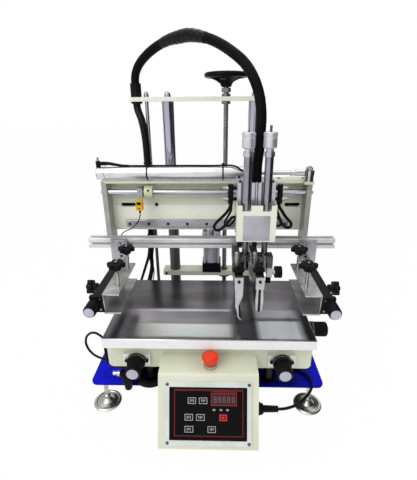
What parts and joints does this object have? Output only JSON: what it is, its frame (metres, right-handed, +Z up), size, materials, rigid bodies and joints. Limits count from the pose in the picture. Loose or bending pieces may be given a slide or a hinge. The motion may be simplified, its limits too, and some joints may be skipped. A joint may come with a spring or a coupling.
{
  "type": "screen printing machine",
  "caption": "Bench screen printer: sloping control panel, sliding work table, two columns, lifting beam, pneumatic squeegee carriage and adjustable screen clamps.",
  "frame": {"origin": "on the floor under the middle of the machine's overall box", "axes": "+X to the operator's right, +Y away from the operator, +Z up"},
  "size_m": [0.736, 0.646, 0.951],
  "materials": {
    "blue_paint": "gloss",
    "cream_paint": "gloss",
    "chrome": "polished",
    "aluminium": "satin",
    "table_plate": "ground and dark anodised",
    "ground_steel": "ground",
    "bronze": "machined",
    "black_plastic": "matt",
    "black_iron": "black enamel",
    "red_plastic": "gloss",
    "rubber": "matt",
    "hose": "matt"
  },
  "bodies": {
    "base": {"base_plate": "blue_paint", "levelling_feet": "chrome", "bed_pillars": "chrome", "bed_housing": "cream_paint", "control_box": "cream_paint", "panel_bezel": "aluminium", "keypad": "black_plastic", "estop_collar": "aluminium", "knob_bearings": "aluminium", "columns": "chrome", "column_base": "cream_paint", "top_plate": "cream_paint", "conduit_socket": "black_plastic", "conduit_rear": "hose", "hose_bundle": "hose", "air_loop": "hose", "mains_plug": "black_plastic", "mains_cord": "hose", "mains_coil": "hose", "wall_plug": "black_plastic"},
    "estop": {"estop_button": "red_plastic"},
    "knob_left": {"front_knob_left": "black_plastic"},
    "knob_right": {"front_knob_right": "black_plastic"},
    "knob_side": {"side_knob": "black_plastic"},
    "cross_slide": {"cross_slide": "ground_steel"},
    "table": {"work_table": "table_plate"},
    "wheel": {"handwheel": "black_iron", "lead_screw": "ground_steel"},
    "lift_carrier": {"lift_plate": "cream_paint", "lead_nut": "bronze", "lift_cylinder": "aluminium"},
    "beam": {"slide_block": "cream_paint", "beam_frame": "cream_paint", "guide_rod": "chrome", "linear_rail": "ground_steel", "clamp_rail": "aluminium", "end_stop": "cream_paint", "stroke_rod": "chrome", "lift_rod": "chrome"},
    "carriage": {"saddle": "aluminium", "stroke_cylinder": "aluminium", "print_head": "aluminium", "head_cover": "cream_paint", "conduit_front": "hose", "head_hoses": "hose"},
    "squeegee": {"squeegee_shaft": "chrome", "squeegee_holder": "aluminium", "squeegee_blade": "rubber"},
    "flood": {"flood_shaft": "chrome", "flood_bar": "aluminium"},
    "left_clamp": {"left_arm": "black_iron"},
    "left_frame": {"left_channel": "aluminium"},
    "left_fine": {"left_fine_knob": "black_plastic"},
    "left_screw_front": {"left_front_screw": "black_plastic"},
    "left_screw_rear": {"left_rear_screw": "black_plastic"},
    "right_clamp": {"right_arm": "black_iron"},
    "right_frame": {"right_channel": "aluminium"},
    "right_fine": {"right_fine_knob": "black_plastic"},
    "right_screw_front": {"right_front_screw": "black_plastic"},
    "right_screw_rear": {"right_rear_screw": "black_plastic"}
  },
  "joints": [
    {"name": "estop_press", "type": "slide", "parent": "base", "child": "estop", "axis": [0, 0, 1], "range_m": [-0.004, 0], "stiffness_N_per_m": 800, "springref_m": 0.002},
    {"name": "wheel_turn", "type": "hinge", "parent": "base", "child": "wheel", "pos_m": [0.045, 0.233, 0.862], "axis": [0, 0, 1], "range_deg": [-3241, 1081]},
    {"name": "lift_carrier_slide", "type": "slide", "parent": "base", "child": "lift_carrier", "axis": [0, 0, 1], "range_m": [-0.015, 0.045], "deforming": ["conduit_rear", "conduit_front"]},
    {"name": "beam_lift", "type": "slide", "parent": "lift_carrier", "child": "beam", "axis": [0, 0, 1], "range_m": [0, 0.055], "deforming": ["conduit_rear", "conduit_front"]},
    {"name": "print_stroke", "type": "slide", "parent": "beam", "child": "carriage", "axis": [1, 0, 0], "range_m": [-0.21, 0.01], "deforming": ["conduit_rear", "conduit_front"]},
    {"name": "squeegee_lift", "type": "slide", "parent": "carriage", "child": "squeegee", "axis": [0, 0, 1], "range_m": [0, 0.015]},
    {"name": "flood_lift", "type": "slide", "parent": "carriage", "child": "flood", "axis": [0, 0, 1], "range_m": [0, 0.015]},
    {"name": "side_knob_turn", "type": "hinge", "parent": "base", "child": "knob_side", "pos_m": [0.265, -0.109, 0.2235], "axis": [1, 0, 0], "range_deg": [-1801, 1801]},
    {"name": "cross_slide_travel", "type": "slide", "parent": "base", "child": "cross_slide", "axis": [1, 0, 0], "range_m": [-0.01, 0.01]},
    {"name": "left_knob_turn", "type": "hinge", "parent": "base", "child": "knob_left", "pos_m": [-0.18, -0.197, 0.19], "axis": [0, -1, 0], "range_deg": [-1801, 1801]},
    {"name": "right_knob_turn", "type": "hinge", "parent": "base", "child": "knob_right", "pos_m": [0.18, -0.197, 0.19], "axis": [0, -1, 0], "range_deg": [-1801, 1801]},
    {"name": "table_travel", "type": "slide", "parent": "cross_slide", "child": "table", "axis": [0, 1, 0], "range_m": [-0.01, 0.01]},
    {"name": "left_clamp_travel", "type": "slide", "parent": "beam", "child": "left_clamp", "axis": [1, 0, 0], "range_m": [-0.06, 0.04]},
    {"name": "left_frame_travel", "type": "slide", "parent": "left_clamp", "child": "left_frame", "axis": [0, 1, 0], "range_m": [-0.008, 0.008]},
    {"name": "left_fine_turn", "type": "hinge", "parent": "left_frame", "child": "left_fine", "pos_m": [-0.265, -0.199, 0.353], "axis": [0, -1, 0], "range_deg": [-2300, 2300]},
    {"name": "left_front_screw_travel", "type": "slide", "parent": "left_frame", "child": "left_screw_front", "axis": [0, 0, 1], "range_m": [-0.03, 0.004]},
    {"name": "left_rear_screw_travel", "type": "slide", "parent": "left_frame", "child": "left_screw_rear", "axis": [0, 0, 1], "range_m": [-0.03, 0.004]},
    {"name": "right_clamp_travel", "type": "slide", "parent": "beam", "child": "right_clamp", "axis": [1, 0, 0], "range_m": [-0.015, 0.05]},
    {"name": "right_frame_travel", "type": "slide", "parent": "right_clamp", "child": "right_frame", "axis": [0, 1, 0], "range_m": [-0.008, 0.008]},
    {"name": "right_fine_turn", "type": "hinge", "parent": "right_frame", "child": "right_fine", "pos_m": [0.279, -0.199, 0.353], "axis": [0, -1, 0], "range_deg": [-2300, 2300]},
    {"name": "right_front_screw_travel", "type": "slide", "parent": "right_frame", "child": "right_screw_front", "axis": [0, 0, 1], "range_m": [-0.03, 0.004]},
    {"name": "right_rear_screw_travel", "type": "slide", "parent": "right_frame", "child": "right_screw_rear", "axis": [0, 0, 1], "range_m": [-0.03, 0.004]}
  ],
  "couplings": [
    {"joint": "wheel_turn", "follows": "lift_carrier_slide", "rad_per_m": -1256.6},
    {"joint": "side_knob_turn", "follows": "cross_slide_travel", "rad_per_m": 3141.6},
    {"joint": "left_knob_turn", "follows": "table_travel", "rad_per_m": -3141.6},
    {"joint": "right_knob_turn", "follows": "table_travel", "rad_per_m": -3141.6},
    {"joint": "left_fine_turn", "follows": "left_frame_travel", "rad_per_m": -5026.5},
    {"joint": "right_fine_turn", "follows": "right_frame_travel", "rad_per_m": -5026.5}
  ]
}
